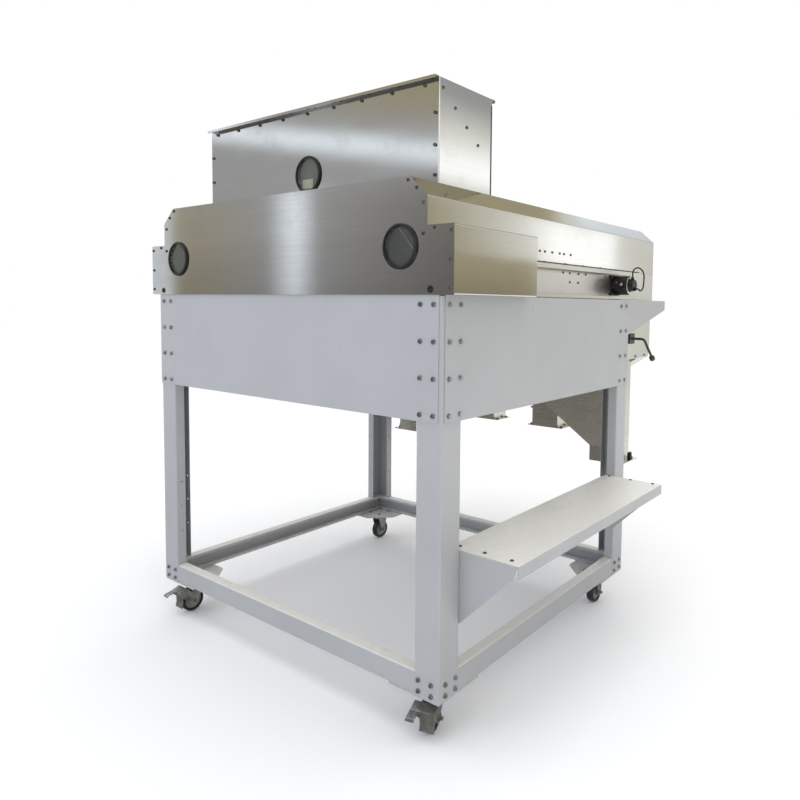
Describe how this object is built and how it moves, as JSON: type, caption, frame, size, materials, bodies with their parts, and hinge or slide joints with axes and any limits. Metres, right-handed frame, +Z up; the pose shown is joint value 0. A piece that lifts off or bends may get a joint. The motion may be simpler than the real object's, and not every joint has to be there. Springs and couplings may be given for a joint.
{
  "type": "grain magnetic separator",
  "caption": "Belt magnetic separator for grain: stainless belt housing and inlet hopper on a white folded-sheet frame with casters, a side shelf and discharge chutes.",
  "frame": {"origin": "on the floor under the middle of the machine's overall box", "axes": "+X across the end panel towards the shelf side, +Y along the belt towards the discharge end, +Z up"},
  "size_m": [1.848, 1.8904, 2.131],
  "materials": {
    "white_paint": "satin powder coat",
    "chute_paint": "satin powder coat",
    "stainless": "brushed",
    "rim_rubber": "matte",
    "window_glass": "clear",
    "drive_black": "satin",
    "lever_steel": "satin black",
    "zinc": "zinc plated",
    "wheel_rubber": "matte",
    "lead_rubber": "matte"
  },
  "bodies": {
    "machine": {"post_front_left": "white_paint", "post_front_right": "white_paint", "post_rear_left": "white_paint", "post_rear_right": "white_paint", "rail_front": "white_paint", "rail_rear": "white_paint", "rail_left": "white_paint", "rail_right": "white_paint", "corner_gussets": "white_paint", "front_panel": "white_paint", "rear_panel": "white_paint", "side_panel_right": "white_paint", "side_panel_left": "white_paint", "shelf": "white_paint", "shelf_brackets": "white_paint", "end_panel": "stainless", "housing_roof": "stainless", "belt_wall_right": "stainless", "belt_wall_left": "stainless", "rear_wall": "stainless", "floor_pan": "stainless", "drive_cover": "stainless", "side_cover": "stainless", "hopper_front_wall": "stainless", "hopper_back_wall": "stainless", "hopper_side_right": "stainless", "hopper_side_left": "stainless", "hopper_slope": "stainless", "discharge_hood": "stainless", "outer_chute_right": "chute_paint", "outer_chute_left": "chute_paint", "rear_funnel_right": "chute_paint", "rear_funnel_left": "chute_paint", "inner_spouts": "chute_paint", "window_rims": "rim_rubber", "window_glasses": "window_glass", "drum_drive": "drive_black", "lever_block": "lever_steel", "front_caster_plates": "zinc", "rear_caster_forks": "zinc", "drive_lead": "lead_rubber"},
    "swivel_left": {"swivel_fork_left": "zinc"},
    "brake_left": {"brake_pedal_left": "zinc"},
    "wheel_front_left": {"front_wheel_left": "wheel_rubber"},
    "wheel_rear_left": {"rear_wheel_left": "wheel_rubber"},
    "swivel_right": {"swivel_fork_right": "zinc"},
    "brake_right": {"brake_pedal_right": "zinc"},
    "wheel_front_right": {"front_wheel_right": "wheel_rubber"},
    "wheel_rear_right": {"rear_wheel_right": "wheel_rubber"},
    "diverter": {"diverter_lever": "lever_steel"}
  },
  "joints": [
    {"name": "caster_swivel_left", "type": "hinge", "parent": "machine", "child": "swivel_left", "pos_m": [-0.782, -0.80485, 0.12], "axis": [0, 0, 1], "continuous": true},
    {"name": "front_wheel_spin_left", "type": "hinge", "parent": "swivel_left", "child": "wheel_front_left", "pos_m": [-0.782, -0.82885, 0.05], "axis": [1, 0, 0], "continuous": true},
    {"name": "brake_pedal_turn_left", "type": "hinge", "parent": "swivel_left", "child": "brake_left", "pos_m": [-0.782, -0.82885, 0.05], "axis": [1, 0, 0], "range_deg": [0, 12]},
    {"name": "rear_wheel_spin_left", "type": "hinge", "parent": "machine", "child": "wheel_rear_left", "pos_m": [-0.782, 0.38915, 0.05], "axis": [1, 0, 0], "continuous": true},
    {"name": "caster_swivel_right", "type": "hinge", "parent": "machine", "child": "swivel_right", "pos_m": [0.612, -0.80485, 0.12], "axis": [0, 0, 1], "continuous": true},
    {"name": "front_wheel_spin_right", "type": "hinge", "parent": "swivel_right", "child": "wheel_front_right", "pos_m": [0.61821, -0.82803, 0.05], "axis": [0.9659, 0.2588, 0], "continuous": true},
    {"name": "brake_pedal_turn_right", "type": "hinge", "parent": "swivel_right", "child": "brake_right", "pos_m": [0.61821, -0.82803, 0.05], "axis": [0.9659, 0.2588, 0], "range_deg": [0, 12]},
    {"name": "rear_wheel_spin_right", "type": "hinge", "parent": "machine", "child": "wheel_rear_right", "pos_m": [0.612, 0.38915, 0.05], "axis": [1, 0, 0], "continuous": true},
    {"name": "diverter_turn", "type": "hinge", "parent": "machine", "child": "diverter", "pos_m": [0.675, 0.58815, 1.237], "axis": [1, 0, 0], "range_deg": [-30, 30]}
  ]
}
